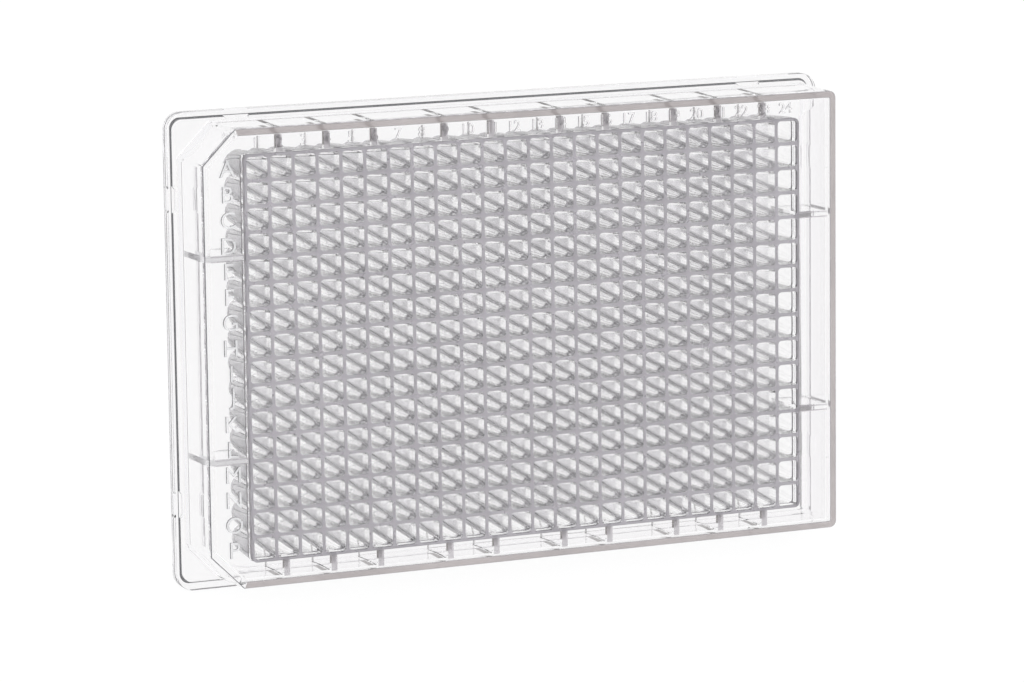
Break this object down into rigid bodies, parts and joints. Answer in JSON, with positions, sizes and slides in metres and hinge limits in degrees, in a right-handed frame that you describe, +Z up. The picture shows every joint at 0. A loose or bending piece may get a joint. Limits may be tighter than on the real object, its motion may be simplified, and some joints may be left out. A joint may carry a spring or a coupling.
{
  "type": "well plate",
  "caption": "Clear plastic laboratory well plate: a dense grid of small square wells in a low skirted tray with a base flange and cut corners.",
  "frame": {"origin": "centre of the footprint on the base plane", "axes": "+X along the columns from 1 to 24, +Y towards row A, +Z up out of the wells"},
  "size_m": [0.1278, 0.0854, 0.0144],
  "materials": {
    "clear_plastic": "clear injection-moulded polystyrene, polished"
  },
  "bodies": {
    "root": {"plate": "clear_plastic"}
  },
  "joints": []
}
